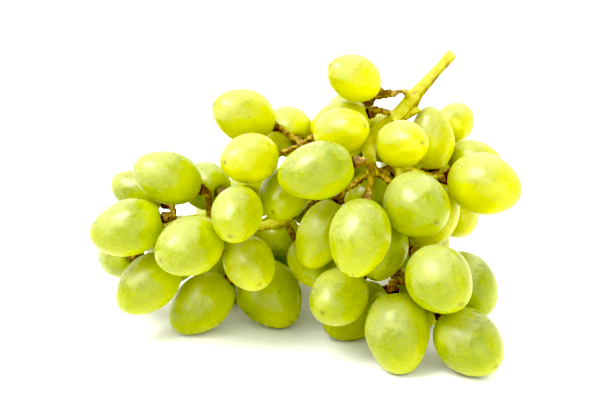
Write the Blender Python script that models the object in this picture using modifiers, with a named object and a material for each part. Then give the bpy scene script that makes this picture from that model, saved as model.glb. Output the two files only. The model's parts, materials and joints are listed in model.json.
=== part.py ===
"""A bunch of green table grapes lying on its side, with its cut stem pointing up and to the right.

Metres, +Z up. The bunch lies on the plane z = 0 and the middle of its outline is over the origin:
+X runs along the bunch towards the cut stem, -Y is the side that faces forward. Each grape is one
solid of its own and the stem, which grew as one piece with all its twigs, is one more.

The grapes are placed by hand, twig by twig, and then settled: they give way to each other and to
the twigs until every skin is clear of the next one, while the fine stalks slip between them.
"""
import math

import bmesh
import bpy
import numpy as np
from mathutils import Vector

MM = 0.001
NAME = "grape_bunch"

# Driving dimensions, in millimetres
SKIN_GAP = 0.4           # between two grapes
SHOULDER = 0.15          # how far a grape's full shoulders stand outside an ellipsoid
STALK_GAP = 0.45         # between a grape and the stalk that carries it
STALK_THICKNESS = 1.7    # the fine stalk of one grape
COLLAR_THICKNESS = 3.4   # where that stalk flares out at the grape
FLAT_DEPTH = 0.25        # how far a grape on the table is pressed flat
FULLNESS = 2.1           # 2 is an ellipse, more is fuller in the shoulders
TAPER = 0.04             # how much slimmer a grape gets towards its tip
GRAPE_STEPS, GRAPE_RINGS = 12, 8
TWIG_GRAIN = 0.6         # how finely the twigs are joined into one stem
TWIG_FACES = 0.1         # how many of those faces are kept

# The stem's forks and bends: x, y, z and thickness in millimetres
TWIGS = {
    "cut": (49, 8, 90, 3.6), "stalk": (44, 8, 84, 3.4), "swell": (38, 8, 77, 4.3), "knot": (36, 8, 74, 5.2),
    "collar": (32, 9, 69, 5.1), "neck": (22, 12, 59, 5.2), "inner": (14, 9, 52, 4.4),
    "axis_1": (6, 2, 46, 3.6), "axis_2": (-5, -5, 38, 3.2),
    "axis_3": (-16, -7, 36, 3.0), "left_end": (-29, -7, 35, 2.6), "left_tip": (-40, -9, 36, 2.2),
    "fork": (30, 6, 77, 1.8), "bract": (34, 6, 78, 1.3), "hub": (23, -10, 56, 2.6), "stub": (28, -8, 54, 2.4),
    "crotch": (1, 2, 61, 2.2), "right_0": (31, 7, 54, 3.2), "right_1": (39, 5, 50, 2.8),
    "right_2": (49, 2, 50, 2.4), "bud": (39, 6, 71.5, 1.3),
    "down_1": (33, 1, 42, 3.0), "down_2": (31, -14, 25, 2.6), "down_3": (38, -24, 24, 2.4),
    "back_1": (3, 13, 42, 2.8), "back_2": (5, 24, 32, 2.4), "back_right": (36, 18, 40, 2.6),
    "back_low": (33, 24, 27, 2.2),
    "back_left_1": (-20, 8, 38, 2.6), "back_left_2": (-26, 18, 32, 2.2),
}
STRANDS = (
    ("cut", "stalk", "swell", "knot", "collar", "neck", "inner", "axis_1", "axis_2", "axis_3", "left_end",
     "left_tip"),
    ("knot", "bract", "fork"), ("collar", "bud"), ("neck", "hub"), ("hub", "stub"), ("inner", "crotch"),
    ("neck", "right_0", "right_1", "right_2"), ("right_0", "down_1", "down_2", "down_3"),
    ("axis_1", "back_1", "back_2"), ("right_1", "back_right", "back_low"), ("axis_3", "back_left_1", "back_left_2"),
)

# Each grape: x, y, z of its middle, its width and length, the azimuth and elevation that its tip
# points to (None: straight away from its twig) and the twig that carries it
GRAPES = {
    "crown_grape_1": (17, 2, 83, 15, 20, -150, 30, "fork"),
    "crown_grape_2": (18, 22, 64, 15, 20, 140, -35, "fork"),
    "crown_grape_3": (14, 8, 67, 15, 20, 180, -20, "collar"),
    "crown_grape_4": (13, -10, 69, 15, 20, -40, 20, "crotch"),
    "crown_grape_5": (27, 32, 54.5, 18, 22, 70, -15, "neck"),
    "crown_grape_6": (32, -14, 66, 15, 20, -55, 15, "collar"),
    "left_shoulder_grape_1": (-18, -2, 72, 17, 22, -155, 25, "crotch"),
    "left_shoulder_grape_2": (-4, 15, 62, 17, 21, 110, 5, "crotch"),
    "left_shoulder_grape_3": (-16, -20, 62, 16, 21, -135, 5, "crotch"),
    "right_shoulder_grape_1": (42, 8, 61, 15, 21, 120, 80, "right_1"),
    "right_shoulder_grape_2": (52, 22, 62, 13, 16, 60, 25, "back_right"),
    "right_shoulder_grape_3": (56, 11, 54, 14, 19, -30, -5, "back_right"),
    "right_shoulder_grape_4": (58, -15, 53, 20, 25, -40, -5, "right_2"),
    "right_shoulder_grape_5": (52, 11, 34, 15, 20, 75, -45, "right_2"),
    "right_shoulder_grape_6": (43, -6, 40, 17, 23, -125, -50, "right_2"),
    "front_grape_1": (5, -30, 62, 18, 24, -170, -10, "hub"),
    "front_grape_2": (36, -27, 50, 20, 24, -65, -10, "hub"),
    "front_grape_3": (18, -40, 44, 19, 25, -105, -45, "hub"),
    "front_grape_4": (7, -22, 39, 16, 23, -150, -60, "hub"),
    "front_grape_5": (26, -20, 33, 16, 21, -115, -45, "down_1"),
    "front_grape_6": (-5, -13, 49, 16, 21, -110, -15, "axis_1"),
    "front_grape_7": (-19, -30, 49, 16, 21, -100, -20, "axis_3"),
    "front_grape_8": (-16, -24, 30, 16, 21, -70, -20, "axis_3"),
    "front_grape_9": (4, -10, 25, 15, 20, -60, -25, "axis_2"),
    "right_front_grape_1": (42, -42, 31, 20, 24, -60, -20, "down_3"),
    "right_front_grape_2": (53, -22, 22, 18, 23, 0, -55, "down_3"),
    "right_front_grape_3": (31, -38, 13, 20, 26, -75, -65, "down_3"),
    "right_front_grape_4": (51, -40, 10, 20, 25, -50, -20, "down_3"),
    "right_front_grape_5": (12, -30, 21, 18, 24, -115, -5, "down_2"),
    "right_front_grape_6": (18, -12, 10, 18, 24, -155, -25, "down_2"),
    "left_tip_grape_1": (-42, -12, 54, 17, 23, -165, 25, "left_end"),
    "left_tip_grape_2": (-53, 6, 44, 14, 19, 175, 24, "left_tip"),
    "left_tip_grape_3": (-31, 6, 46, 16, 20, 125, 0, "left_end"),
    "left_tip_grape_4": (-54, -18, 40, 18, 24, -175, -15, "left_tip"),
    "left_tip_grape_5": (-59, 2, 23, 15, 20, 120, -20, "left_tip"),
    "left_tip_grape_6": (-48, -14, 19, 18, 24, -145, -30, "left_tip"),
    "left_tip_grape_7": (-33, -8, 11, 18, 24, -155, -35, "left_end"),
    "left_tip_grape_8": (-34, -28, 37, 19, 25, -130, -5, "left_end"),
    "left_tip_grape_9": (-40, 4, 30, 14, 18, 150, -10, "left_end"),
    "middle_grape_1": (-10, 0, 10, 21, 26, -50, -30, "axis_3"),
    "middle_grape_2": (16, 19, 45, 14, 18, None, None, "inner"),
    "middle_grape_3": (23, 1, 44, 15, 19, None, None, "right_0"),
    "middle_grape_4": (-8, 19, 21, 18, 23, 90, -60, "axis_2"),
    "back_grape_1": (-16, 30, 36.5, 20, 25, None, None, "back_left_1"),
    "back_grape_2": (12, 38, 48, 18, 24, None, None, "back_2"),
    "back_grape_3": (36, 42, 44, 17, 23, None, None, "back_right"),
    "back_grape_4": (48, 29, 41, 19, 23, None, None, "back_right"),
    "back_grape_5": (-42, 18, 16, 18, 22, None, None, "back_left_2"),
    "back_grape_6": (-26, 36, 27, 18, 24, None, None, "back_left_2"),
    "back_grape_7": (3, 41, 30, 19, 24, None, None, "back_2"),
    "back_grape_8": (24, 40, 28, 18, 23, None, None, "back_right"),
    "back_grape_9": (42, 22, 20, 17, 23, None, None, "down_1"),
    "back_grape_10": (-56, 20, 30, 16, 21, None, None, "left_tip"),
    "under_grape_1": (-25, 20, 10, 18, 24, None, None, "back_left_2"),
    "under_grape_2": (14, 20, 10, 18, 24, None, None, "back_2"),
    "under_grape_3": (40, -2, 12, 17, 22, None, None, "down_1"),
    "under_grape_4": (-3, 36, 10, 18, 24, None, None, "back_2"),
    "under_grape_5": (38, 38, 10, 17, 22, None, None, "back_low"),
}
ON_TABLE = ("right_front_grape_3", "right_front_grape_4", "right_front_grape_6", "left_tip_grape_7",
            "middle_grape_1", "under_grape_1", "under_grape_2", "under_grape_3", "under_grape_4",
            "under_grape_5")

SETTLE_ROUNDS = 500
STALK_POINTS = 9


def clear_scene():
    for thing in list(bpy.data.objects):
        bpy.data.objects.remove(thing, do_unlink=True)


def new_collection(name):
    collection = bpy.data.collections.new(name)
    bpy.context.scene.collection.children.link(collection)
    return collection


def plain_material(name, colour, roughness):
    material = bpy.data.materials.new(name)
    material.use_nodes = True
    shader = material.node_tree.nodes["Principled BSDF"]
    shader.inputs["Base Color"].default_value = (*colour, 1.0)
    shader.inputs["Roughness"].default_value = roughness
    shader.inputs["Metallic"].default_value = 0.0
    material.diffuse_color = (*colour, 1.0)
    return material


def smooth_line(corners, count):
    """Evenly numbered points on a smooth line through the corners (last axis: any values)."""
    corners = np.asarray(corners, float)
    padded = np.vstack([2 * corners[0] - corners[1], corners, 2 * corners[-1] - corners[-2]])
    points = []
    for place in np.linspace(0, len(corners) - 1, count):
        i = min(int(place), len(corners) - 2)
        t = place - i
        a, b, c, d = padded[i:i + 4]
        points.append(0.5 * (2 * b + (c - a) * t + (2 * a - 5 * b + 4 * c - d) * t ** 2
                             + (3 * b - a - 3 * c + d) * t ** 3))
    return np.array(points)


def heading(azimuth, elevation):
    a, e = math.radians(azimuth), math.radians(elevation)
    return np.array([math.cos(a) * math.cos(e), math.sin(a) * math.cos(e), math.sin(e)])


def grape_axes():
    """The way each grape's tip points."""
    axes = []
    for x, y, z, _width, _length, azimuth, elevation, twig in GRAPES.values():
        if azimuth is None:
            away = np.array([x, y, z], float) - TWIGS[twig][:3]
            axes.append(away / np.linalg.norm(away))
        else:
            axes.append(heading(azimuth, elevation))
    return np.array(axes)


def stem_lines():
    """Each strand of the stem as points with a thickness."""
    lines = []
    for names in STRANDS:
        corners = np.array([TWIGS[name] for name in names], float)
        length = np.linalg.norm(np.diff(corners[:, :3], axis=0), axis=1).sum()
        lines.append(smooth_line(corners, max(4, round(length / 2.5))))
    return lines


def stalk_ends(middles, axes, lengths):
    """Where a stalk meets its grape, and the point it comes in from."""
    ends = middles - axes * (lengths / 2 + STALK_GAP)[:, None]
    return ends, ends - axes * 2.4


def first_stalks(middles, axes, lengths):
    """Every stalk as a soft bend from its twig into the end of its grape."""
    ends, lead_ins = stalk_ends(middles, axes, lengths)
    stalks = []
    for i, row in enumerate(GRAPES.values()):
        root = np.array(TWIGS[row[7]][:3], float)
        reach = np.linalg.norm(ends[i] - root)
        bend = ends[i] - axes[i] * reach * 0.5
        t = np.linspace(0, 1, STALK_POINTS)[:, None]
        stalks.append((1 - t) ** 2 * root + 2 * t * (1 - t) * bend + t ** 2 * ends[i])
        stalks[-1][-2] = lead_ins[i]
    return np.array(stalks)


def settle():
    """Ease the grapes and stalks apart, and return the middles, axes and stalk lines."""
    rows = list(GRAPES.values())
    middles = np.array([row[:3] for row in rows], float)
    widths = np.array([row[3] for row in rows], float)
    lengths = np.array([row[4] for row in rows], float)
    axes = grape_axes()
    tabled = np.array([name in ON_TABLE for name in GRAPES])
    half_l, half_w = lengths / 2, widths / 2
    focus = half_l ** 2 - half_w ** 2
    share = np.linspace(-1, 1, 5)
    along = share[None] * (focus / half_l)[:, None] * 0.96
    radii = half_w[:, None] * np.sqrt(1 - along ** 2 / focus[:, None]) * (1 - TAPER * share) + SHOULDER
    owner = np.repeat(np.arange(len(rows)), len(share))
    radius = radii.ravel()
    stem = np.vstack([line[:, :4] for line in stem_lines()])
    stalks = first_stalks(middles, axes, lengths)
    fine = STALK_THICKNESS / 2
    inner = slice(1, STALK_POINTS - 2)

    for turn in range(SETTLE_ROUNDS):
        balls = (middles[:, None] + axes[:, None] * along[:, :, None]).reshape(-1, 3)
        push = np.zeros_like(middles)
        # grape against grape
        apart = balls[:, None] - balls[None]
        distance = np.linalg.norm(apart, axis=2) + 1e-9
        excess = radius[:, None] + radius[None] + SKIN_GAP - distance
        excess[owner[:, None] == owner[None]] = 0
        excess = np.clip(excess, 0, None)
        moves = (apart / distance[:, :, None] * excess[:, :, None] * 0.25).sum(axis=1)
        np.add.at(push, owner, moves)
        # grape against the thick stem, which stays where it is
        apart = balls[:, None] - stem[None, :, :3]
        distance = np.linalg.norm(apart, axis=2) + 1e-9
        excess = np.clip(radius[:, None] + stem[None, :, 3] / 2 + SKIN_GAP - distance, 0, None)
        np.add.at(push, owner, (apart / distance[:, :, None] * excess[:, :, None] * 0.3).sum(axis=1))
        # grape against the fine stalks, which give way more easily
        beads = stalks[:, 1:-1].reshape(-1, 3)
        bead_owner = np.repeat(np.arange(len(rows)), STALK_POINTS - 2)
        near_end = np.tile(np.arange(1, STALK_POINTS - 1) >= STALK_POINTS - 2, len(rows))
        apart = beads[:, None] - balls[None]
        distance = np.linalg.norm(apart, axis=2) + 1e-9
        excess = np.clip(radius[None] + fine + SKIN_GAP - distance, 0, None)
        excess[(bead_owner[:, None] == owner[None]) & near_end[:, None]] = 0
        away = apart / distance[:, :, None] * excess[:, :, None]
        bead_push = (away * 0.4).sum(axis=1).reshape(len(rows), STALK_POINTS - 2, 3)
        np.add.at(push, owner, -(away * 0.12).sum(axis=0))
        stalks[:, inner] += bead_push[:, :-1]
        # the last bead is rigid with its grape, so what pushes it pushes the grape
        push += bead_push[:, -1] * 0.5
        # the table
        low = (balls[:, 2] - radius).reshape(len(rows), -1).min(axis=1)
        floor = np.where(tabled, -low - FLAT_DEPTH, np.clip(1.2 - low, 0, None))
        push[:, 2] += floor * 0.4
        middles += np.clip(push, -0.8, 0.8)
        ends, lead_ins = stalk_ends(middles, axes, lengths)
        stalks[:, -1], stalks[:, -2] = ends, lead_ins
        # a stalk stays taut and smooth between its two held ends
        for _ in range(2):
            stalks[:, inner] += 0.18 * (stalks[:, 0:-3] + stalks[:, 2:-1] - 2 * stalks[:, 1:-2])
        stalks[:, inner, 2] = np.clip(stalks[:, inner, 2], 1.8, None)
    return middles, axes, stalks


def grape_profile(width, length):
    """Half outline of a grape, from its stalk end at the top down to its tip."""
    points = []
    for i in range(GRAPE_RINGS + 1):
        turn = math.pi * i / GRAPE_RINGS
        up, out = math.cos(turn), math.sin(turn)
        size = (abs(up) ** FULLNESS + abs(out) ** FULLNESS) ** (-1 / FULLNESS)
        out = 0 if i in (0, GRAPE_RINGS) else out * size
        points.append((out * width / 2 * (1 + TAPER * up), up * size * length / 2))
    return points


def turned_mesh(name, width, length):
    """A grape's outline turned about Z; the Screw modifier closes it at both poles."""
    mesh = bpy.data.meshes.new(name)
    outline = bmesh.new()
    spots = [outline.verts.new((x * MM, 0, z * MM)) for x, z in grape_profile(width, length)]
    for a, b in zip(spots, spots[1:]):
        outline.edges.new((a, b))
    outline.to_mesh(mesh)
    outline.free()
    return mesh


def make_grape(collection, material, name, middle, axis):
    """One grape, standing on its axis; its stalk end is the top of its outline."""
    width, length = GRAPES[name][3:5]
    grape = bpy.data.objects.new(name, turned_mesh(name, width, length))
    collection.objects.link(grape)
    turn = grape.modifiers.new("Turn", "SCREW")
    turn.steps = turn.render_steps = GRAPE_STEPS
    turn.use_merge_vertices = True
    turn.merge_threshold = 0.00005
    turn.use_smooth_shade = True
    grape.data.materials.append(material)
    upright = Vector(-axis)
    grape.rotation_euler = upright.to_track_quat("Z", "Y").to_euler()
    grape.location = Vector(middle) * MM
    return grape


def press_on_table(grape):
    """Lower a grape until it dips under the table by the depth of its flat, and cut it there."""
    bpy.context.view_layer.update()
    graph = bpy.context.evaluated_depsgraph_get()
    mesh = bpy.data.meshes.new_from_object(grape.evaluated_get(graph), depsgraph=graph)
    place = grape.matrix_world.copy()
    low = min((place @ vertex.co).z for vertex in mesh.vertices)
    grape.location.z -= low + FLAT_DEPTH * MM
    bpy.context.view_layer.update()
    place = grape.matrix_world.copy()
    back = place.inverted()
    shape = bmesh.new()
    shape.from_mesh(mesh)
    bmesh.ops.remove_doubles(shape, verts=shape.verts, dist=0.00002)
    down = (back.to_3x3() @ Vector((0, 0, 1))).normalized()
    cut = bmesh.ops.bisect_plane(shape, geom=shape.verts[:] + shape.edges[:] + shape.faces[:],
                                 plane_co=back @ Vector((place.translation.x, place.translation.y, 0)),
                                 plane_no=down, clear_inner=True, dist=0.000002)
    rim = [edge for edge in cut["geom_cut"] if isinstance(edge, bmesh.types.BMEdge)]
    bmesh.ops.contextual_create(shape, geom=rim)
    bmesh.ops.recalc_face_normals(shape, faces=shape.faces)
    grape.modifiers.clear()
    shape.to_mesh(mesh)
    shape.free()
    mesh.shade_smooth()
    grape.data = mesh


def tube(name, points, thickness):
    """A closed tube along the points, as a mesh object."""
    curve = bpy.data.curves.new(name, "CURVE")
    curve.dimensions = "3D"
    curve.bevel_depth = 0.5 * MM
    curve.bevel_resolution = 2
    curve.use_fill_caps = True
    spline = curve.splines.new("POLY")
    spline.points.add(len(points) - 1)
    for spot, place, thick in zip(spline.points, points, thickness):
        spot.co = (*(np.asarray(place[:3]) * MM), 1.0)
        spot.radius = thick
    thing = bpy.data.objects.new(name, curve)
    bpy.context.scene.collection.objects.link(thing)
    bpy.context.view_layer.update()
    graph = bpy.context.evaluated_depsgraph_get()
    mesh = bpy.data.meshes.new_from_object(thing.evaluated_get(graph), depsgraph=graph)
    bpy.data.objects.remove(thing, do_unlink=True)
    return mesh


def make_stem(collection, material, stalks):
    """All the strands and stalks, grown together into one closed solid."""
    shape = bmesh.new()
    pieces = [(line[:, :3], line[:, 3]) for line in stem_lines()]
    for stalk in stalks:
        line = smooth_line(stalk, 2 * STALK_POINTS)
        thick = np.full(len(line), STALK_THICKNESS)
        thick[-1] = COLLAR_THICKNESS
        thick[-2] = 0.75 * COLLAR_THICKNESS
        thick[0] = thick[1] = 1.25 * STALK_THICKNESS
        pieces.append((line, thick))
    for i, (line, thick) in enumerate(pieces):
        shape.from_mesh(tube(f"strand_{i}", line, thick))
    bmesh.ops.remove_doubles(shape, verts=shape.verts, dist=0.00002)
    mesh = bpy.data.meshes.new("stem")
    shape.to_mesh(mesh)
    shape.free()
    stem = bpy.data.objects.new("stem", mesh)
    collection.objects.link(stem)
    grow = stem.modifiers.new("Grow together", "REMESH")
    grow.mode = "VOXEL"
    grow.voxel_size = TWIG_GRAIN * MM
    thin = stem.modifiers.new("Fewer faces", "DECIMATE")
    thin.ratio = TWIG_FACES
    stem.data.materials.append(material)
    return stem


def centre_over_origin(things):
    """Slide everything so that the middle of the bunch's outline is over the origin."""
    bpy.context.view_layer.update()
    graph = bpy.context.evaluated_depsgraph_get()
    low, high = Vector((1, 1, 1)), Vector((-1, -1, -1))
    for thing in things:
        solid = thing.evaluated_get(graph)
        mesh = solid.to_mesh()
        for vertex in mesh.vertices:
            place = thing.matrix_world @ vertex.co
            low = Vector(map(min, low, place))
            high = Vector(map(max, high, place))
        solid.to_mesh_clear()
    shift = -(low + high) / 2
    shift.z = 0
    for thing in things:
        thing.location += shift


def main():
    clear_scene()
    collection = new_collection(NAME)
    skin = plain_material("grape_skin", (0.56, 0.62, 0.05), 0.32)
    wood = plain_material("stem_wood", (0.42, 0.42, 0.06), 0.62)
    middles, axes, stalks = settle()
    things = [make_grape(collection, skin, name, middle, axis)
              for name, middle, axis in zip(GRAPES, middles, axes)]
    for thing in things:
        if thing.name in ON_TABLE:
            press_on_table(thing)
    things.append(make_stem(collection, wood, stalks))
    centre_over_origin(things)


main()
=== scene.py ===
# %% [markdown]
# # A bunch of green grapes
#
# This lesson finishes a bunch of table grapes that lies on its side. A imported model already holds
# every size and place: each grape is one plain solid and the branching stem is another. The lesson
# reads those solids, models one grape and one stalk collar by hand, grows a fine skin over the stem,
# and paints both with nodes. Nothing is moved or resized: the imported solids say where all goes.

# %% Load the frame
import json
import math
import random

import bpy
import numpy as np
from mathutils import Matrix, Vector
from mathutils.bvhtree import BVHTree

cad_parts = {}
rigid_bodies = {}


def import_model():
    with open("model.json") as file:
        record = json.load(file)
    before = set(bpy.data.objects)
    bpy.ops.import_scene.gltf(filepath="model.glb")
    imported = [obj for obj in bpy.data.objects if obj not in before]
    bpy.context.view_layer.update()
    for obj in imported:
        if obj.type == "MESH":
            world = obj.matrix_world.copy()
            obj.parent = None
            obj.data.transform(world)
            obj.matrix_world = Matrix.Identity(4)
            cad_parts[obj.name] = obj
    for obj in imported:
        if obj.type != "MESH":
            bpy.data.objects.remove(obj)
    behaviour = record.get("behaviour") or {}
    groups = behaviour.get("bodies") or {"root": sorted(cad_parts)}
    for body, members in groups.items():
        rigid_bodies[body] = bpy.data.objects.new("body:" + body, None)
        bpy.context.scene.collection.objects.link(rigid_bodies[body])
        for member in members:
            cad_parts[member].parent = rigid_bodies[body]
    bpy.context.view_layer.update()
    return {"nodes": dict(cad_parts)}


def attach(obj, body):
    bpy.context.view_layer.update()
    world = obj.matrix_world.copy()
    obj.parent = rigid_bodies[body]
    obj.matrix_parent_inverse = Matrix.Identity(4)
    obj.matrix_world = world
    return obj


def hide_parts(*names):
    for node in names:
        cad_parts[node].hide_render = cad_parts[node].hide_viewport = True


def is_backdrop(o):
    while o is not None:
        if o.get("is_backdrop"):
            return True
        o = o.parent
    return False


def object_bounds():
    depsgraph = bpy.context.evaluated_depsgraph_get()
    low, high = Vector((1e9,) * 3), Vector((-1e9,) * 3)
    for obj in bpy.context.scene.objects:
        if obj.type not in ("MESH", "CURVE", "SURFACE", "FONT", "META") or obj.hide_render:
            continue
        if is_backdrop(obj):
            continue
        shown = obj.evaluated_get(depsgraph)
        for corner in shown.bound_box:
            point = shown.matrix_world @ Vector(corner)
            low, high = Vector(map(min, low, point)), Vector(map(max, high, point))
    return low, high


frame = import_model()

MM = 0.001
grape_nodes = sorted(name for name in frame["nodes"] if "_grape_" in name)
print("packed solids:", len(frame["nodes"]), "of which grapes:", len(grape_nodes))

# %% [markdown]
# ## Working on one thing at a time
# Blender's operators act on whatever is selected. Loading the frame leaves every solid selected, so
# each step first makes one object the only selected one. Inside edit mode the same care holds for
# vertices: they are picked in code by their place.


# %% Selecting
def work_on(thing):
    """Make this object the only selected one, and the active one."""
    bpy.ops.object.select_all(action="DESELECT")
    thing.select_set(True)
    bpy.context.view_layer.objects.active = thing


def pick_vertices(thing, wanted):
    """Enter edit mode with only the vertices selected whose place passes the test."""
    bpy.ops.object.mode_set(mode="EDIT")
    bpy.ops.mesh.select_mode(type="VERT")
    bpy.ops.mesh.select_all(action="DESELECT")
    bpy.ops.object.mode_set(mode="OBJECT")
    for vertex in thing.data.vertices:
        vertex.select = wanted(vertex.co)
    bpy.ops.object.mode_set(mode="EDIT")


def apply_all(thing):
    """Apply an object's modifiers in order."""
    work_on(thing)
    for name in [modifier.name for modifier in thing.modifiers]:
        bpy.ops.object.modifier_apply(modifier=name)


bpy.ops.object.select_all(action="DESELECT")
print("selected now:", len(bpy.context.selected_objects))

# %% [markdown]
# ## The camera
# The bunch is seen from the front and a little above, from half a metre away with a long lens, so
# that the near grapes aren't blown up against the far ones.

# %% Camera
CAMERA_RISE = math.radians(18)
CAMERA_DISTANCE = 540 * MM
LENS = 100
LOOK_AT = Vector((-1.2, -1.0, 43)) * MM

bpy.ops.object.camera_add(rotation=(math.pi / 2 - CAMERA_RISE, 0, 0))
camera = bpy.context.object
camera.name = "camera"
camera.location = LOOK_AT + CAMERA_DISTANCE * Vector((0, -math.cos(CAMERA_RISE), math.sin(CAMERA_RISE)))
camera.data.lens = LENS
camera.data.clip_start = 10 * MM
bpy.context.scene.camera = camera
print("camera at", [round(value / MM) for value in camera.location], "mm")

# %% [markdown]
# ## A white studio
# Grapes are half see-through, and they look alive only when light reaches them from all round. So
# the bunch lies on a white table in an evenly bright white room. One soft lamp overhead, at the
# left, puts a window of light on every skin. A wide lamp low in front lights the undersides, and
# another at the far right lights the grapes from behind. The plain "Standard" view keeps the whites
# white. Its black point is raised a little, as in printing, because the pale room mirrors in every
# skin and would grey the greens.

# %% Table, room and lamps
ROOM_COLOUR, ROOM_LIGHT = (1.0, 1.0, 0.97, 1), 1.55
TABLE_COLOUR = (0.88, 0.88, 0.88, 1)
BLACK_POINT = 0.07
LAMPS = {
    # name: place in metres, size, watts
    "overhead lamp": ((-0.38, -0.26, 0.68), 0.44, 7.5),
    "front lamp": ((0.20, -0.80, 0.30), 0.90, 4.5),
    "far lamp": ((0.45, 0.35, 0.65), 0.90, 2.2),
}

bpy.ops.mesh.primitive_plane_add(size=6)
table = bpy.context.object
table.name = "table"
table_paint = bpy.data.materials.new("white_table")
table_paint.use_nodes = True
table_shader = table_paint.node_tree.nodes["Principled BSDF"]
table_shader.inputs["Base Color"].default_value = TABLE_COLOUR
table_shader.inputs["Roughness"].default_value = 0.8
table_shader.inputs["Specular IOR Level"].default_value = 0.2
table.data.materials.append(table_paint)
table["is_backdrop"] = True

room = bpy.data.worlds.new("white_room")
room.use_nodes = True
background = room.node_tree.nodes["Background"]
background.inputs["Color"].default_value = ROOM_COLOUR
background.inputs["Strength"].default_value = ROOM_LIGHT
bpy.context.scene.world = room

for name, (place, size, watts) in LAMPS.items():
    bpy.ops.object.light_add(type="AREA", location=place)
    lamp = bpy.context.object
    lamp.name = name
    lamp.data.size = size
    lamp.data.energy = watts
    lamp.rotation_euler = (Vector(place) - LOOK_AT).to_track_quat("Z", "Y").to_euler()

view = bpy.context.scene.view_settings
view.view_transform = "Standard"
view.use_curve_mapping = True
view.curve_mapping.black_level = (BLACK_POINT, BLACK_POINT, BLACK_POINT)
view.curve_mapping.update()
print("lamps:", list(LAMPS))

# %% [markdown]
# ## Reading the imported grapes
# Each packed grape is a coarse turned solid. Its long axis is the direction in which its surface
# spreads the most, its length is its reach along that axis, and its width is twice its reach away
# from it. The end that is nearest to the stem is the end where the stalk goes in.


# %% Measure every grape
def surface_spread(mesh):
    """The middle of a surface and its main directions, the longest last."""
    mesh.calc_loop_triangles()
    corners = np.array([vertex.co for vertex in mesh.vertices])
    triangles = corners[np.array([triangle.vertices for triangle in mesh.loop_triangles])]
    first_side = triangles[:, 1] - triangles[:, 0]
    second_side = triangles[:, 2] - triangles[:, 0]
    area = np.linalg.norm(np.cross(first_side, second_side), axis=1)
    centres = triangles.mean(axis=1)
    middle = (centres * area[:, None]).sum(axis=0) / area.sum()
    away = centres - middle
    spread = (away[:, :, None] * away[:, None, :] * area[:, None, None]).sum(axis=0)
    return corners, middle, np.linalg.eigh(spread)[1]


def measure_grape(name):
    """Middle, axis towards the stalk, length and width of one packed grape."""
    corners, middle, directions = surface_spread(frame["nodes"][name].data)
    axis = directions[:, 2]
    along = (corners - middle) @ axis
    middle = middle + axis * (along.min() + along.max()) / 2
    length = along.max() - along.min()
    away = corners - middle
    width = 2 * np.linalg.norm(away - np.outer(away @ axis, axis), axis=1).max()
    ends = [middle + axis * length / 2, middle - axis * length / 2]
    gaps = [np.linalg.norm(stem_corners - end, axis=1).min() for end in ends]
    if gaps[1] < gaps[0]:
        axis = -axis
    return {"middle": Vector(middle), "axis": Vector(axis), "length": length, "width": width,
            "gap": min(gaps)}


stem_corners = np.array([vertex.co for vertex in frame["nodes"]["stem"].data.vertices])
grapes = {name: measure_grape(name) for name in grape_nodes}
lengths = [grape["length"] / MM for grape in grapes.values()]
widths = [grape["width"] / MM for grape in grapes.values()]
print(f"lengths {min(lengths):.1f} to {max(lengths):.1f} mm")
print(f"widths {min(widths):.1f} to {max(widths):.1f} mm")
print(f"widest gap from a stalk to its grape {max(grape['gap'] for grape in grapes.values()) / MM:.2f} mm")

# %% [markdown]
# ## One grape, modelled by hand
# A grape is almost an egg. What tells it from one is at its two ends: the stalk sits in a shallow
# dimple, and the tip keeps a small scar where the flower was. It starts as a sphere of fine rings.
# Soft selection, which Blender calls proportional editing, slims the tip and sinks the dimple,
# because it lets a pull fade out over the skin. The scar is two insets at the tip.

# %% Model the pattern grape
PATTERN_WIDTH, PATTERN_LENGTH = 20 * MM, 25 * MM
SEGMENTS, RINGS = 56, 42
TIP_SLIM = 0.90
DIMPLE_DEPTH, DIMPLE_REACH = 0.9 * MM, 4.2 * MM
SCAR_RIM, SCAR_PIT = 0.45 * MM, 0.16 * MM

bpy.ops.mesh.primitive_uv_sphere_add(segments=SEGMENTS, ring_count=RINGS, radius=PATTERN_WIDTH / 2)
pattern = bpy.context.object
pattern.name = "pattern_grape"
bpy.ops.object.mode_set(mode="EDIT")
bpy.ops.mesh.select_all(action="SELECT")
bpy.ops.transform.resize(value=(1, 1, PATTERN_LENGTH / PATTERN_WIDTH))

tip, stalk_end = -PATTERN_LENGTH / 2, PATTERN_LENGTH / 2
pick_vertices(pattern, lambda co: co.z < 0.8 * tip)
bpy.ops.transform.resize(value=(TIP_SLIM, TIP_SLIM, 1), use_proportional_edit=True,
                         proportional_edit_falloff="SMOOTH", proportional_size=0.6 * PATTERN_LENGTH)
pick_vertices(pattern, lambda co: co.z > stalk_end - 0.05 * MM)
bpy.ops.transform.translate(value=(0, 0, -DIMPLE_DEPTH), use_proportional_edit=True,
                            proportional_edit_falloff="SMOOTH", proportional_size=DIMPLE_REACH)

pick_vertices(pattern, lambda co: co.z < tip + 0.05 * MM)
bpy.ops.mesh.select_more()
bpy.ops.mesh.select_mode(type="FACE")
bpy.ops.mesh.inset(thickness=SCAR_RIM * 0.5, depth=0.04 * MM)
bpy.ops.mesh.inset(thickness=SCAR_RIM * 0.4, depth=-SCAR_PIT)
bpy.ops.object.mode_set(mode="OBJECT")
bpy.ops.object.shade_smooth()
print("pattern grape:", len(pattern.data.polygons), "faces")

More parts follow.
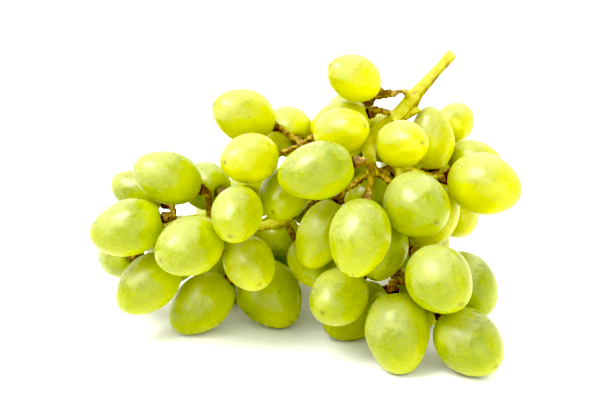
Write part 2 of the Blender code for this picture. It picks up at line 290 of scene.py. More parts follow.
# %% [markdown]
# ## Paint guides on the grape
# The skin's paint has to know where it is on its own grape: how far from the stalk, how far from the
# tip, and which way round. So the pattern keeps its own coordinates, in millimetres, in an attribute
# that every copy takes along. Each copy also gets a tone of its own, from green to golden, which also
# sets how light its flesh is. Part of it is ripening and a random spread; the rest is painted light and
# shade by group: the grapes high on the bunch are painted golden and lighter, and those low, inside and
# underneath greener and darker.
#
# Light wanders a long way inside a grape. Three more guides paint what that does, as painted light in
# the colour. "glow" is strong on the side away from the lamp, where the flesh is painted lighter as a
# glow of gathered light. Another guide marks the side that faces the lamp, where a pale veil is painted
# as a broad highlight. "crowded" is strong where other grapes stand close, and there painted bounce
# light from them lightens the flesh. The first two are painted for the overhead lamp of this studio,
# and would be wrong under a lamp that stands elsewhere.


# %% Guides
def paint_guide(mesh, name, values):
    """Store a number or a vector for each vertex, for the shader to read."""
    values = np.asarray(values, dtype=np.float32)
    kind, field = ("FLOAT_VECTOR", "vector") if values.ndim == 2 else ("FLOAT", "value")
    guide = mesh.attributes.get(name) or mesh.attributes.new(name, kind, "POINT")
    guide.data.foreach_set(field, values.ravel())


def fade(values, start, end):
    """0 before start, 1 after end, and a soft step between."""
    share = np.clip((values - start) / (end - start), 0, 1)
    return share * share * (3 - 2 * share)


def corners_of(mesh):
    """All vertices of a mesh as rows of x, y, z."""
    corners = np.zeros(len(mesh.vertices) * 3, dtype=np.float32)
    mesh.vertices.foreach_get("co", corners)
    return corners.reshape(-1, 3)


# tone per group: partly ripeness, partly painted light and shade, golden and lighter on top, greener and
# darker low and inside
RIPENESS_AND_PAINTED_LIGHT = {"crown": 1.0, "left_shoulder": 0.85, "right_shoulder": 0.9, "front": 0.34, "right_front": 0.18,
            "left_tip": 0.25, "middle": 0.3, "back": 0.5, "under": 0.1}
LAMP_SIDE = Vector(LAMPS["overhead lamp"][0]).normalized()
# how directly a point faces the lamp, from -1 to 1, where each guide starts and ends
GLOW_FULL, GLOW_BEND, GLOW_GONE = -0.7, 0.3, 0.95
GLOW_LOST_AT_BEND = 0.65
HIGHLIGHT_START, HIGHLIGHT_FULL = 0.35, 0.95


def glow_of(towards_lamp):
    """How strongly the flesh is painted with gathered light: all on the far side, none right under the lamp.
    """
    first = GLOW_LOST_AT_BEND * fade(towards_lamp, GLOW_FULL, GLOW_BEND)
    rest = (1 - GLOW_LOST_AT_BEND) * fade(towards_lamp, GLOW_BEND, GLOW_GONE)
    return 1 - first - rest


paint_guide(pattern.data, "own_place", corners_of(pattern.data) / MM)
print("guides:", [a.name for a in pattern.data.attributes if a.name == "own_place"])

# %% [markdown]
# ## A grape on every stalk
# Every copy gets its own mesh, stretched to the measured length and width, turned about its axis by
# a random angle and set in place. No two grapes are alike, so a cloud texture pushes each skin in
# and out by a fraction of a millimetre: the texture is read at the grape's own place in the bunch,
# and therefore differs for each. A grape that lies on the table is cut flat where it meets it.

# %% Place the copies
LUMP_SIZE, LUMP_HEIGHT = 11 * MM, 0.55 * MM
TONE_SPREAD = 0.12
dice = random.Random(7)

lumps = bpy.data.textures.new("soft_lumps", "CLOUDS")
lumps.noise_scale = LUMP_SIZE
lumps.noise_depth = 1


def crowding(places, outwards, name):
    """How much of what each point faces is taken by other grapes, each counted as a ball."""
    share = np.zeros(len(places))
    for other, ball in grapes.items():
        if other == name:
            continue
        away = np.array(ball["middle"]) - places
        distance = np.linalg.norm(away, axis=1)
        facing = np.clip((away * outwards).sum(axis=1) / distance, 0, 1)
        radius = (2 * ball["width"] + ball["length"]) / 6
        share += facing * np.minimum(radius / distance, 1) ** 2
    return np.minimum(share, 1)


def place_grape(name, grape):
    """One copy of the pattern, fitted to a packed grape."""
    mesh = pattern.data.copy()
    copy = bpy.data.objects.new(name + "_skin", mesh)
    bpy.context.scene.collection.objects.link(copy)
    size = Matrix.Diagonal((grape["width"] / PATTERN_WIDTH, grape["width"] / PATTERN_WIDTH,
                            grape["length"] / PATTERN_LENGTH, 1))
    spin = Matrix.Rotation(dice.uniform(0, 2 * math.pi), 4, "Z")
    turn = grape["axis"].to_track_quat("Z", "Y").to_matrix().to_4x4()
    mesh.transform(Matrix.Translation(grape["middle"]) @ turn @ size @ spin)
    swell = copy.modifiers.new("Lumps", "DISPLACE")
    swell.texture = lumps
    swell.strength = LUMP_HEIGHT
    apply_all(copy)
    tone = RIPENESS_AND_PAINTED_LIGHT[name.split("_grape_")[0]] + dice.uniform(-TONE_SPREAD, TONE_SPREAD)
    paint_guide(mesh, "tone", np.full(len(mesh.vertices), tone))
    outwards = corners_of(mesh) - np.array(grape["middle"])
    outwards /= np.linalg.norm(outwards, axis=1)[:, None]
    towards_lamp = outwards @ np.array(LAMP_SIDE)
    # painted light: the flesh away from the lamp is painted lighter, as a glow
    paint_guide(mesh, "glow", glow_of(towards_lamp))
    # painted highlight: the side that faces the overhead lamp gets a pale veil
    paint_guide(mesh, "painted_highlight", fade(towards_lamp, HIGHLIGHT_START, HIGHLIGHT_FULL))
    # painted bounce light: grapes close by lighten the flesh that faces them
    paint_guide(mesh, "crowded", crowding(corners_of(mesh), outwards, name))
    return copy


def rest_on_table(thing):
    """Cut a grape flat where it dips into the table.

    The cut keeps points that are nearer to the plane than its threshold, so that is made tiny.
    """
    work_on(thing)
    bpy.ops.object.mode_set(mode="EDIT")
    bpy.ops.mesh.select_all(action="SELECT")
    bpy.ops.mesh.bisect(plane_co=(0, 0, 0), plane_no=(0, 0, 1), clear_inner=True, use_fill=True,
                        threshold=0.001 * MM)
    bpy.ops.object.mode_set(mode="OBJECT")


skins = {name: place_grape(name, grape) for name, grape in grapes.items()}
resting = [skin for skin in skins.values() if corners_of(skin.data)[:, 2].min() < 0]
for skin in resting:
    rest_on_table(skin)
bpy.data.objects.remove(pattern)
print("grapes placed:", len(skins), "resting on the table:", len(resting))

# %% [markdown]
# ## The collar at the end of each stalk
# Where the fine stalk meets its grape it flares into a knobbly collar that holds the skin. It is
# modelled once: a short cylinder whose end face is extruded step by step, wider each time, like
# turning a trumpet. Its top lies at z = 0 and goes a little into the grape's dimple.

# %% Model the pattern collar
STALK_RADIUS = 0.72
COLLAR_STEPS = ((0.9, 0.86), (0.8, 1.12), (0.6, 1.45), (0.45, 1.72), (0.4, 1.78), (0.3, 1.5))
COLLAR_LENGTH = sum(rise for rise, radius in COLLAR_STEPS)
COLLAR_SINK = 0.50 * MM
STUB = 0.5

bpy.ops.mesh.primitive_cylinder_add(vertices=18, radius=STALK_RADIUS * MM, depth=STUB * MM,
                                    location=(0, 0, -(COLLAR_LENGTH + STUB / 2) * MM))
collar = bpy.context.object
collar.name = "pattern_collar"
bpy.ops.object.transform_apply(location=True)
bpy.ops.object.mode_set(mode="EDIT")
bpy.ops.mesh.select_mode(type="FACE")
bpy.ops.mesh.select_all(action="DESELECT")
bpy.ops.object.mode_set(mode="OBJECT")
for face in collar.data.polygons:
    face.select = face.normal.z > 0.9
bpy.ops.object.mode_set(mode="EDIT")
radius_now = STALK_RADIUS
for rise, radius in COLLAR_STEPS:
    bpy.ops.mesh.extrude_region_move(TRANSFORM_OT_translate={"value": (0, 0, rise * MM)})
    bpy.ops.transform.resize(value=(radius / radius_now, radius / radius_now, 1))
    radius_now = radius
bpy.ops.object.mode_set(mode="OBJECT")
print(f"collar {COLLAR_LENGTH:.1f} mm long, top at {max(v.co.z for v in collar.data.vertices) / MM:.2f} mm")

# %% [markdown]
# ## A fine skin for the stem
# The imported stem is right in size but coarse. A copy of it is joined with a collar for every grape,
# and a voxel remesh grows all of it together into one even skin, fine enough to carry bark. Smoothing
# takes the coarse facets away and thins the stalks, so a displacement then swells them back. The
# size of the voxels is chosen to keep the skin under 200,000 triangles.

# %% Join and remesh
VOXEL = 0.35 * MM
SMOOTHING = 8
SWELL = 0.19 * MM

stem = bpy.data.objects.new("stem_skin", frame["nodes"]["stem"].data.copy())
stem.data.materials.clear()
bpy.context.scene.collection.objects.link(stem)
work_on(stem)
bpy.ops.object.mode_set(mode="EDIT")
bpy.ops.mesh.select_all(action="SELECT")
bpy.ops.mesh.remove_doubles(threshold=0.01 * MM)
bpy.ops.object.mode_set(mode="OBJECT")

collars = []
for name, grape in grapes.items():
    mesh = collar.data.copy()
    top = grape["middle"] + grape["axis"] * (grape["length"] / 2 - COLLAR_SINK)
    turn = (-grape["axis"]).to_track_quat("Z", "Y").to_matrix().to_4x4()
    mesh.transform(Matrix.Translation(top) @ turn)
    copy = bpy.data.objects.new("collar_" + name, mesh)
    bpy.context.scene.collection.objects.link(copy)
    collars.append(copy)
work_on(stem)
for copy in collars:
    copy.select_set(True)
bpy.ops.object.join()
bpy.data.objects.remove(collar)

grow = stem.modifiers.new("Grow together", "REMESH")
grow.mode = "VOXEL"
grow.voxel_size = VOXEL
smooth = stem.modifiers.new("Smooth", "SMOOTH")
smooth.factor = 0.5
smooth.iterations = SMOOTHING
swell = stem.modifiers.new("Swell", "DISPLACE")
swell.mid_level = 0
swell.strength = SWELL
apply_all(stem)
print("stem skin:", len(stem.data.polygons), "faces")

# %% [markdown]
# ## Telling the stalks apart
# The main stalk is green and ridged along its length, while the fine stalks are brown, dry and warty.
# How thick the stem is tells them apart, so a ray is sent from every point straight through the stem
# to its far side. The distance is the thickness there, and averaging it with the neighbours smooths
# the forks.


# %% Measure how thick the stem is
THIN, THICK = 2.4 * MM, 3.4 * MM
RAY_START, RAY_LIMIT = 0.05 * MM, 6 * MM


def thickness_of(mesh, rounds=12):
    """How thick the solid is behind each vertex, averaged with the neighbours a few times."""
    faces = [face.vertices for face in mesh.polygons]
    tree = BVHTree.FromPolygons([vertex.co for vertex in mesh.vertices], faces)
    thickness = np.zeros(len(mesh.vertices))
    for vertex in mesh.vertices:
        inside = vertex.co - vertex.normal * RAY_START
        distance = tree.ray_cast(inside, -vertex.normal)[3]
        thickness[vertex.index] = min(distance or 0, RAY_LIMIT)
    edges = np.array([edge.vertices for edge in mesh.edges])
    share = 1 + np.bincount(edges.ravel(), minlength=len(thickness))
    for turn in range(rounds):
        total = thickness.copy()
        np.add.at(total, edges[:, 0], thickness[edges[:, 1]])
        np.add.at(total, edges[:, 1], thickness[edges[:, 0]])
        thickness = total / share
    return thickness


fine = 1 - fade(thickness_of(stem.data), THIN, THICK)
print(f"share of the skin on fine stalks {fine.mean():.2f}")

# %% [markdown]
# ## Along and across the main stalk
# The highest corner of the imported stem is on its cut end, and the corners near it give the axis of
# the main stalk. Then every point of the skin gets three distances: to the end of the nearest grape,
# from the cut along the axis, and away from the axis. Two masks follow: woody, for the fine stalks
# and the flares at the grapes, and on_stalk, for the rest.

# %% Measure along and across
CUT_END_LENGTH = 13 * MM
FLARE_END, FLARE_START = 2.5 * MM, 4.5 * MM
WOODY_NEAR, WOODY_FAR, WOODY_LOSS = 4 * MM, 12 * MM, 0.35

top = stem_corners[stem_corners[:, 2].argmax()]
end_piece = stem_corners[np.linalg.norm(stem_corners - top, axis=1) < CUT_END_LENGTH]
stalk_axis = np.linalg.svd(end_piece - end_piece.mean(axis=0))[2][0]
stalk_axis *= np.sign(stalk_axis[2])
cut_height = (end_piece @ stalk_axis).max()
stalk_middle = end_piece.mean(axis=0)

places = corners_of(stem.data).astype(float)
grape_ends = np.array([grape["middle"] + grape["axis"] * grape["length"] / 2 for grape in grapes.values()])
to_grape = np.min([np.linalg.norm(places - end, axis=1) for end in grape_ends], axis=0)
from_cut = cut_height - places @ stalk_axis
across = places - stalk_middle
off_axis = np.linalg.norm(across - np.outer(across @ stalk_axis, stalk_axis), axis=1)
flare = 1 - fade(to_grape, FLARE_END, FLARE_START)
on_stalk = (1 - fine) * (1 - flare)
woody = np.maximum(fine * (1 - WOODY_LOSS * fade(to_grape, WOODY_NEAR, WOODY_FAR)), flare)
print(f"stalk axis {np.round(stalk_axis, 2)}, woody share {woody.mean():.2f}")

# %% [markdown]
# ## Bark
# The masks become vertex groups. One lets a plain swelling and a cloud texture raise the warts, and
# the other lets a texture that an empty stretches along the stalk raise the ridges.


# %% Raise the bark
FINE_SWELL = 0.10 * MM
WART_SIZE, WART_HEIGHT = 0.8 * MM, 1.3 * MM
RIDGE_SIZE, RIDGE_HEIGHT = 0.75 * MM, 0.5 * MM
RIDGE_STRETCH = 14
WEIGHT_STEPS = 20


def vertex_group(thing, name, weights):
    """A vertex group from one weight per vertex, rounded to a few steps."""
    group = thing.vertex_groups.new(name=name)
    steps = np.round(np.asarray(weights) * WEIGHT_STEPS).astype(int)
    for step in range(1, WEIGHT_STEPS + 1):
        group.add(np.flatnonzero(steps == step).tolist(), step / WEIGHT_STEPS, "REPLACE")


def cloud_texture(name, size):
    """A cloud texture whose grain has this size."""
    texture = bpy.data.textures.new(name, "CLOUDS")
    texture.noise_scale = size
    texture.noise_depth = 1
    return texture


vertex_group(stem, "warty", woody)
vertex_group(stem, "ridged", on_stalk)

thicken = stem.modifiers.new("Thicken", "DISPLACE")
thicken.mid_level = 0
thicken.strength = FINE_SWELL
thicken.vertex_group = "warty"
warts = stem.modifiers.new("Warts", "DISPLACE")
warts.texture = cloud_texture("warts", WART_SIZE)
warts.strength = WART_HEIGHT
warts.vertex_group = "warty"

bpy.ops.object.empty_add(location=Vector(stalk_middle))
grain = bpy.context.object
grain.rotation_euler = Vector(stalk_axis).to_track_quat("Z", "Y").to_euler()
grain.scale = (1, 1, RIDGE_STRETCH)
bpy.context.view_layer.update()
ridges = stem.modifiers.new("Ridges", "DISPLACE")
ridges.texture = cloud_texture("ridges", RIDGE_SIZE)
ridges.texture_coords = "OBJECT"
ridges.texture_coords_object = grain
ridges.strength = RIDGE_HEIGHT
ridges.vertex_group = "ridged"
apply_all(stem)
bpy.data.objects.remove(grain)
bpy.ops.object.shade_smooth()
print("bark raised on:", [group.name for group in stem.vertex_groups])

# %% [markdown]
# ## Paint guides on the stem
# The stem's paint reads the masks and the distances, these in millimetres, as attributes. One more
# guide marks the lower right side of the stalk, the side away from the overhead lamp, where painted
# shade darkens it.

# %% Stem guides
# painted shade: the side of the stalk away from the overhead lamp
SHADE_SIDE = Vector((0.62, -0.20, -0.75))
SHADE_START, SHADE_FULL = -0.1, 0.7

facing = np.array([vertex.normal @ SHADE_SIDE for vertex in stem.data.vertices])
stem_guides = {
    "woody": woody,
    "on_stalk": on_stalk,
    "painted_shade_side": fade(facing, SHADE_START, SHADE_FULL),
    "to_grape": to_grape / MM,
    "from_cut": from_cut / MM,
    "off_axis": off_axis / MM,
}
for name, values in stem_guides.items():
    paint_guide(stem.data, name, values)
print("stem guides:", list(stem_guides))

# %% [markdown]
# ## Building shaders from parts
# The paint is made of two effects that both the grapes and the stem use, so each is a node group:
# mottling, which is cloudy patches with frayed edges, and dots, which are small round marks that sit
# in only some cells of a cell pattern. A short helper adds a node and wires its inputs in one go.


# %% Node helpers
def fill_inputs(tree, node, inputs):
    """Link an input to the socket that is given for it, or set it to the plain value."""
    for name, value in inputs.items():
        if isinstance(value, bpy.types.NodeSocket):
            tree.links.new(value, node.inputs[name])
        else:
            node.inputs[name].default_value = value


def add(tree, kind, inputs=None, **settings):
    """Add a node, set its properties, and wire or set its inputs."""
    node = tree.nodes.new(kind)
    for name, value in settings.items():
        setattr(node, name, value)
    fill_inputs(tree, node, inputs or {})
    return node


def maths(tree, operation, *values, clamp=False):
    """A Math node on up to three values, and its result."""
    inputs = dict(enumerate(values))
    return add(tree, "ShaderNodeMath", inputs, operation=operation, use_clamp=clamp).outputs[0]


def step(tree, value, low, high, to_low=0.0, to_high=1.0):
    """A soft step of a value from low to high."""
    inputs = {"Value": value, "From Min": low, "From Max": high, "To Min": to_low, "To Max": to_high}
    return add(tree, "ShaderNodeMapRange", inputs, interpolation_type="SMOOTHSTEP").outputs["Result"]


def blend(tree, factor, first, second):
    """Mix two colours and return the result.

    A Mix node has sockets for every kind of data; its colours are inputs 6 and 7 and output 2.
    """
    return add(tree, "ShaderNodeMix", {0: factor, 6: first, 7: second}, data_type="RGBA").outputs[2]


def new_group(name, inputs, outputs):
    """A node group with float or vector inputs and float outputs, and its two end nodes."""
    group = bpy.data.node_groups.new(name, "ShaderNodeTree")
    for label, value in inputs.items():
        kind = "NodeSocketVector" if value is None else "NodeSocketFloat"
        socket = group.interface.new_socket(label, in_out="INPUT", socket_type=kind)
        if value is not None:
            socket.default_value = value
    for label in outputs:
        group.interface.new_socket(label, in_out="OUTPUT", socket_type="NodeSocketFloat")
    return group, group.nodes.new("NodeGroupInput").outputs, group.nodes.new("NodeGroupOutput")


def use_group(tree, group, inputs):
    """Place a node group and return its outputs."""
    return add(tree, "ShaderNodeGroup", inputs, node_tree=group).outputs


print("node helpers ready")

# %% [markdown]
# ## Mottling
# Mottling is a broad noise that a finer noise frays at its edge. Raising Cover makes the patches
# take more of the surface, and Softness widens their edge.

# %% Mottling
mottle, got, out = new_group("mottling", {"Vector": None, "Scale": 150.0, "Cover": 0.5, "Softness": 0.12},
                             ["Patches"])
broad = add(mottle, "ShaderNodeTexNoise", {"Vector": got["Vector"], "Scale": got["Scale"], "Detail": 2.0})
fine_scale = maths(mottle, "MULTIPLY", got["Scale"], 7.0)
fray = add(mottle, "ShaderNodeTexNoise", {"Vector": got["Vector"], "Scale": fine_scale, "Detail": 3.0})
broad_share = maths(mottle, "MULTIPLY", broad.outputs[0], 0.65)
mixed = maths(mottle, "MULTIPLY_ADD", fray.outputs[0], 0.35, broad_share)
edge = maths(mottle, "SUBTRACT", 0.85, maths(mottle, "MULTIPLY", got["Cover"], 0.7))
low = maths(mottle, "SUBTRACT", edge, got["Softness"])
high = maths(mottle, "ADD", edge, got["Softness"])
mottle.links.new(step(mottle, mixed, low, high), out.inputs["Patches"])
print("mottling:", len(mottle.nodes), "nodes")

# %% [markdown]
# ## Dots
# Dots measure how far a point is from the middle of its cell, keep only the cells whose random colour
# is under Share, and give the dot and the ring round it as two masks.

# %% Dots
dots, got, out = new_group("dots", {"Vector": None, "Scale": 450.0, "Size": 0.12, "Share": 0.6},
                           ["Dot", "Ring"])
cells = add(dots, "ShaderNodeTexVoronoi",
            {"Vector": got["Vector"], "Scale": got["Scale"], "Randomness": 0.9})
luck = add(dots, "ShaderNodeSeparateColor", {"Color": cells.outputs["Color"]})
kept = maths(dots, "LESS_THAN", luck.outputs["Red"], got["Share"])
radius = maths(dots, "MULTIPLY", got["Size"], maths(dots, "ADD", luck.outputs["Green"], 0.5))
wide = maths(dots, "MULTIPLY", radius, 1.9)
disc = step(dots, cells.outputs["Distance"], radius, maths(dots, "MULTIPLY", radius, 0.5))
halo = step(dots, cells.outputs["Distance"], wide, radius)
dots.links.new(maths(dots, "MULTIPLY", disc, kept), out.inputs["Dot"])
around = maths(dots, "SUBTRACT", halo, disc, clamp=True)
dots.links.new(maths(dots, "MULTIPLY", around, kept), out.inputs["Ring"])
print("dots:", len(dots.nodes), "nodes")

# %% [markdown]
# ## Grape skin
# Under a thin clear skin the flesh is watery, so light enters it and comes out elsewhere: that is
# subsurface scattering, deep for red and green and shallow for blue, which makes the shadows of a
# green grape golden instead of grey. Scattering alone leaves a grape too even, so the guides add the
# rest: each colour comes as a pair, green and golden, and the grape's tone blends between the two.

# %% Skin colours and guides
FLESH_GREEN, FLESH_GOLD = (0.125, 0.168, 0.003, 1), (0.255, 0.262, 0.003, 1)
# painted glow colours, lighter flesh where light gathers; the veins use the golden one too
GLOWING_GREEN, GLOWING_GOLD = (0.280, 0.335, 0.003, 1), (0.69, 0.675, 0.004, 1)
# painted bounce light colours
BOUNCE_LIGHT_GREEN, BOUNCE_LIGHT_GOLD = (0.34, 0.405, 0.003, 1), (0.51, 0.53, 0.003, 1)
# pale colour of the thin bloom and of the painted highlight veil
BLOOM_AND_HIGHLIGHT = (0.41, 0.43, 0.20, 1)
PORE_PALE, PORE_GREY = (0.56, 0.58, 0.14, 1), (0.17, 0.20, 0.02, 1)
FLECK = (0.085, 0.040, 0.006, 1)
STALK_MARK = (0.16, 0.14, 0.01, 1)
PAINTED_GLOW_STRENGTH, BOUNCE_LIGHT_STRENGTH, VEIN_STRENGTH = 0.95, 0.65, 0.14
PAINTED_HIGHLIGHT_STRENGTH, PAINTED_HIGHLIGHT_FRAY, THIN_BLOOM = 0.5, 0.8, 0.06

skin_paint = bpy.data.materials.new("grape_skin")
skin_paint.use_nodes = True
tree = skin_paint.node_tree
skin = tree.nodes["Principled BSDF"]
place = add(tree, "ShaderNodeTexCoord").outputs["Object"]
own = add(tree, "ShaderNodeAttribute", attribute_name="own_place").outputs["Vector"]
tone = add(tree, "ShaderNodeAttribute", attribute_name="tone").outputs["Fac"]
glow = add(tree, "ShaderNodeAttribute", attribute_name="glow").outputs["Fac"]
painted_highlight = add(tree, "ShaderNodeAttribute", attribute_name="painted_highlight").outputs["Fac"]
crowded = add(tree, "ShaderNodeAttribute", attribute_name="crowded").outputs["Fac"]
own_parts = add(tree, "ShaderNodeSeparateXYZ", {"Vector": own})
round_axis = add(tree, "ShaderNodeCombineXYZ", {"X": own_parts.outputs["X"], "Y": own_parts.outputs["Y"]})
off_middle = add(tree, "ShaderNodeVectorMath", {0: round_axis.outputs[0]}, operation="LENGTH")
off_middle = off_middle.outputs["Value"]
away_from_tip = maths(tree, "MULTIPLY", 4.0, step(tree, own_parts.outputs["Z"], -9.0, -6.0))
to_tip = maths(tree, "ADD", off_middle, away_from_tip)
away_from_stalk = maths(tree, "MULTIPLY", 9.0, step(tree, own_parts.outputs["Z"], 9.0, 5.0))
to_stalk = maths(tree, "ADD", off_middle, away_from_stalk)
print("guides in the skin paint:", len(tree.nodes), "nodes")

# %% [markdown]
# ## Flesh
# Each grape has its tone, partly ripeness and partly painted light, and clouds of green and gold
# inside it. The flesh is painted lighter where light gathers, a painted glow, and takes a painted
# bounce light colour where other grapes stand close.

# %% Flesh
clouds = add(tree, "ShaderNodeTexNoise", {"Vector": place, "Scale": 70.0, "Detail": 3.0}).outputs[0]
# the tone, partly painted light and shade, with random clouds
ripeness_and_light = maths(tree, "ADD", tone, maths(tree, "MULTIPLY_ADD", clouds, 0.5, -0.25), clamp=True)
colour = blend(tree, ripeness_and_light, FLESH_GREEN, FLESH_GOLD)
painted_glow_colour = blend(tree, ripeness_and_light, GLOWING_GREEN, GLOWING_GOLD)
# painted glow
colour = blend(tree, maths(tree, "MULTIPLY", glow, PAINTED_GLOW_STRENGTH), colour, painted_glow_colour)
painted_bounce_colour = blend(tree, ripeness_and_light, BOUNCE_LIGHT_GREEN, BOUNCE_LIGHT_GOLD)
# painted bounce light where other grapes stand close
colour = blend(tree, step(tree, crowded, 0.2, 1.0, 0.0, BOUNCE_LIGHT_STRENGTH), colour, painted_bounce_colour)
print("flesh:", len(tree.nodes), "nodes so far")

# %% [markdown]
# ## Veins, bloom and a painted highlight
# Faint veins run from end to end under the skin, so their noise is stretched along the grape. On the
# skin lies a bloom of wax, dull and pale, which handling has rubbed off in patches; it drives the
# roughness, and a thin film of it is mixed into the colour everywhere. On the side that faces the
# lamp a broad pale veil is painted into the colour as a painted highlight, and the bloom patches fray its
# edge.

# %% Veins, bloom and painted highlight
direction = add(tree, "ShaderNodeVectorMath", {0: round_axis.outputs[0]}, operation="NORMALIZE")
direction = direction.outputs[0]
along = maths(tree, "MULTIPLY", own_parts.outputs["Z"], 0.05)
drift = add(tree, "ShaderNodeCombineXYZ", {"Z": along}).outputs[0]
vein_place = add(tree, "ShaderNodeVectorMath", {0: direction, 1: drift}, operation="ADD").outputs[0]
vein_noise = add(tree, "ShaderNodeTexNoise", {"Vector": vein_place, "Scale": 5.0, "Detail": 2.0}).outputs[0]
veins = step(tree, maths(tree, "ABSOLUTE", maths(tree, "SUBTRACT", vein_noise, 0.5)), 0.035, 0.0)
colour = blend(tree, maths(tree, "MULTIPLY", veins, VEIN_STRENGTH), colour, GLOWING_GOLD)

patches = use_group(tree, mottle, {"Vector": place, "Scale": 120.0, "Cover": 0.52, "Softness": 0.20})
smears = use_group(tree, mottle, {"Vector": place, "Scale": 380.0, "Cover": 0.5, "Softness": 0.15})
fine_bloom = maths(tree, "MULTIPLY", smears["Patches"], 0.35)
bloom = maths(tree, "MULTIPLY_ADD", patches["Patches"], 0.65, fine_bloom, clamp=True)
# painted highlight: a pale veil on the lamp side whose edge the bloom patches fray, plus a thin real bloom
# everywhere
frayed = maths(tree, "MULTIPLY_ADD", maths(tree, "SUBTRACT", bloom, 0.5), PAINTED_HIGHLIGHT_FRAY, painted_highlight)
everywhere = maths(tree, "MULTIPLY", bloom, THIN_BLOOM)
painted_highlight_and_bloom = maths(tree, "MULTIPLY_ADD", step(tree, frayed, 0.1, 1.0), PAINTED_HIGHLIGHT_STRENGTH, everywhere)
colour = blend(tree, painted_highlight_and_bloom, colour, BLOOM_AND_HIGHLIGHT)
print("veins and bloom:", len(tree.nodes), "nodes so far")

# %% [markdown]
# ## Pores, flecks and the marks at both ends
# The skin breathes through small pale pores, each a grey dot in a paler ring, and a few brown flecks
# sit between them. At the tip the flower left a scar with a ring round it, and at the other end the
# skin is browner where the stalk goes in.

# %% Pores, flecks and marks
pores = use_group(tree, dots, {"Vector": place, "Scale": 900.0, "Size": 0.17, "Share": 0.8})
flecks = use_group(tree, dots, {"Vector": place, "Scale": 210.0, "Size": 0.055, "Share": 0.6})
colour = blend(tree, maths(tree, "MULTIPLY", pores["Ring"], 0.18), colour, PORE_PALE)
colour = blend(tree, maths(tree, "MULTIPLY", pores["Dot"], 0.16), colour, PORE_GREY)
colour = blend(tree, maths(tree, "MULTIPLY", flecks["Dot"], 0.85), colour, FLECK)

# the scar at the tip and the brown ring where the stalk goes in
scar = step(tree, to_tip, 0.55, 0.25)
scar_ring = step(tree, maths(tree, "ABSOLUTE", maths(tree, "SUBTRACT", to_tip, 0.95)), 0.45, 0.0)
colour = blend(tree, maths(tree, "MULTIPLY", scar_ring, 0.35), colour, STALK_MARK)
colour = blend(tree, maths(tree, "MULTIPLY", scar, 0.85), colour, FLECK)
colour = blend(tree, maths(tree, "MULTIPLY", step(tree, to_stalk, 4.2, 1.8), 0.5), colour, STALK_MARK)
tree.links.new(colour, skin.inputs["Base Color"])
print("pores, flecks and marks:", len(tree.nodes), "nodes so far")

# %% [markdown]
# ## Gloss and touch
# The bare skin shines and the bloom doesn't, so the bloom also drives the roughness. Numbers that
# are the same all over the skin are set straight on the shader. The skin is faintly pitted to the
# touch, and the pores stand in it as tiny pimples: that is a bump, too small to be modelled.

# %% Gloss and touch
tree.links.new(step(tree, bloom, 0.0, 1.0, 0.22, 0.40), skin.inputs["Roughness"])
skin.inputs["IOR"].default_value = 1.5
skin.inputs["Subsurface Weight"].default_value = 1.0
skin.inputs["Subsurface Radius"].default_value = (1.0, 0.9, 0.12)
skin.inputs["Subsurface Scale"].default_value = 12 * MM
skin.inputs["Subsurface Anisotropy"].default_value = 0.8
skin.inputs["Sheen Weight"].default_value = 0.06
skin.inputs["Sheen Roughness"].default_value = 0.45
skin.inputs["Sheen Tint"].default_value = (0.95, 1.0, 0.75, 1)

pits = add(tree, "ShaderNodeTexNoise", {"Vector": place, "Scale": 900.0, "Detail": 2.0}).outputs[0]
height = maths(tree, "MULTIPLY_ADD", pores["Dot"], 0.35, maths(tree, "MULTIPLY_ADD", bloom, 0.25, pits))
bump = add(tree, "ShaderNodeBump", {"Height": height, "Strength": 0.12, "Distance": 0.15 * MM})
tree.links.new(bump.outputs["Normal"], skin.inputs["Normal"])
print("grape skin:", len(tree.nodes), "nodes")

# %% [markdown]
# ## Stem skin
# The stem's paint is built like the grape's. Two noises give it life: streaks, turned to the main
# stalk's axis and stretched along it, and blotches that lie anywhere.

# %% Stem colours and guides
FRESH, FRESH_PALE = (0.35, 0.325, 0.008, 1), (0.46, 0.46, 0.06, 1)
SHADED_OCHRE = (0.38, 0.32, 0.010, 1)
OCHRE, BROWN, DARK = (0.40, 0.30, 0.050, 1), (0.20, 0.115, 0.022, 1), (0.10, 0.055, 0.012, 1)
INNER_PAINTED_LIGHT = (0.70, 0.69, 0.10, 1)
CUT_WOOD, PITH = (0.45, 0.44, 0.16, 1), (0.28, 0.20, 0.03, 1)
WART = (0.50, 0.36, 0.14, 1)

stem_paint = bpy.data.materials.new("stem_skin")
stem_paint.use_nodes = True
tree = stem_paint.node_tree
bark = tree.nodes["Principled BSDF"]
place = add(tree, "ShaderNodeTexCoord").outputs["Object"]
guide = {name: add(tree, "ShaderNodeAttribute", attribute_name=name).outputs["Fac"]
         for name in stem_guides}

tilt = Vector(stalk_axis).to_track_quat("Z", "Y").inverted().to_euler()
streak_place = add(tree, "ShaderNodeMapping",
                   {"Vector": place, "Rotation": tilt, "Scale": (1, 1, 0.07)}).outputs[0]
streaks = add(tree, "ShaderNodeTexNoise", {"Vector": streak_place, "Scale": 1100.0, "Detail": 3.0}).outputs[0]
blotches = add(tree, "ShaderNodeTexNoise", {"Vector": place, "Scale": 560.0, "Detail": 4.0}).outputs[0]
print("guides in the stem paint:", len(tree.nodes), "nodes")

# %% [markdown]
# ## Bark colours
# The cut stalk is still fresh: yellow-green, with brown streaks along it. Its lower right side, away
# from the lamp, is darkened with painted shade that ends in a brown edge, and inside the bunch, where
# the grapes shade it, it is painted paler as painted light. Towards the grapes the stalks turn brown,
# and the collars are the darkest of all.

# %% Bark colours
fresh = blend(tree, step(tree, blotches, 0.35, 0.7), FRESH, FRESH_PALE)
fresh = blend(tree, maths(tree, "MULTIPLY", step(tree, streaks, 0.52, 0.64), 0.6), fresh, OCHRE)
fresh = blend(tree, maths(tree, "MULTIPLY", step(tree, streaks, 0.63, 0.70), 0.6), fresh, BROWN)
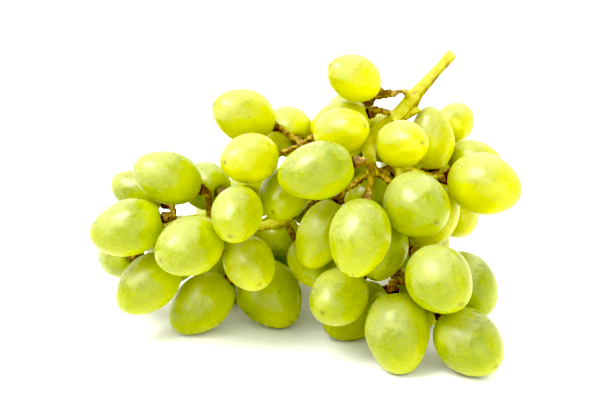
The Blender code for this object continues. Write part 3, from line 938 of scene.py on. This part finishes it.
# painted light: paler inside the bunch, where the crown grapes shade the stalk
fresh = blend(tree, step(tree, guide["from_cut"], 20.0, 30.0, 0.0, 0.75), fresh, INNER_PAINTED_LIGHT)
# painted shade on the lower right side, ending in a darker brown edge of painted shade
shade_fray = maths(tree, "MULTIPLY", maths(tree, "SUBTRACT", streaks, 0.5), 1.6)
shaded = maths(tree, "ADD", guide["painted_shade_side"], shade_fray)
fresh = blend(tree, step(tree, shaded, 0.3, 0.8, 0.0, 0.7), fresh, SHADED_OCHRE)
fresh = blend(tree, step(tree, shaded, 0.85, 1.05, 0.0, 0.85), fresh, BROWN)
brown = blend(tree, step(tree, blotches, 0.46, 0.58), BROWN, OCHRE)
woody_fray = maths(tree, "MULTIPLY", maths(tree, "SUBTRACT", blotches, 0.5), 1.2)
edge = maths(tree, "ADD", guide["woody"], woody_fray)
colour = blend(tree, step(tree, edge, 0.15, 0.75), fresh, brown)
collar_edge = maths(tree, "ADD", guide["to_grape"], maths(tree, "MULTIPLY", blotches, 2.5))
colour = blend(tree, maths(tree, "MULTIPLY", step(tree, collar_edge, 5.0, 2.6), 0.75), colour, DARK)
print("bark colours:", len(tree.nodes), "nodes so far")

# %% [markdown]
# ## Warts, cut end and touch
# Pale dots stand for the tops of small warts on the woody parts. The cut end is pale, with a darker
# pith in the middle. The same noises and dots drive the roughness and a fine bump.

# %% Warts, cut end and touch
knobs = use_group(tree, dots, {"Vector": place, "Scale": 900.0, "Size": 0.22, "Share": 0.45})
knob_mask = maths(tree, "MULTIPLY", knobs["Dot"], step(tree, guide["woody"], 0.1, 0.6, 0.0, 0.7))
colour = blend(tree, knob_mask, colour, WART)
near_cut = maths(tree, "MULTIPLY", step(tree, guide["from_cut"], 2.6, 1.2), 0.7)
colour = blend(tree, near_cut, colour, FRESH_PALE)
wood = blend(tree, step(tree, guide["off_axis"], 0.75, 0.45), CUT_WOOD, PITH)
colour = blend(tree, step(tree, guide["from_cut"], 0.45, 0.25), colour, wood)
tree.links.new(colour, bark.inputs["Base Color"])

tree.links.new(step(tree, blotches, 0.3, 0.7, 0.45, 0.75), bark.inputs["Roughness"])
bark.inputs["Subsurface Weight"].default_value = 0.15
bark.inputs["Subsurface Radius"].default_value = (1.0, 0.8, 0.2)
bark.inputs["Subsurface Scale"].default_value = 1 * MM
height = maths(tree, "MULTIPLY_ADD", blotches, 0.6, maths(tree, "MULTIPLY", streaks, guide["on_stalk"]))
height = maths(tree, "MULTIPLY_ADD", knob_mask, 0.8, height)
bump = add(tree, "ShaderNodeBump", {"Height": height, "Strength": 0.6, "Distance": 0.25 * MM})
tree.links.new(bump.outputs["Normal"], bark.inputs["Normal"])
print("stem skin:", len(tree.nodes), "nodes")

# %% [markdown]
# ## Put it together
# Every skin takes its paint, stands for the imported solid that it covers, and rides on the bunch's
# one body. The size of the finished bunch's box is then printed.

# %% Paint, ride and finish
for name, thing in skins.items():
    thing.data.materials.clear()
    thing.data.materials.append(skin_paint)
    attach(thing, "root")
    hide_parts(name)
stem.data.materials.append(stem_paint)
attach(stem, "root")
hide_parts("stem")

low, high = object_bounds()
print("finished box", [round(value / MM, 1) for value in high - low], "mm")
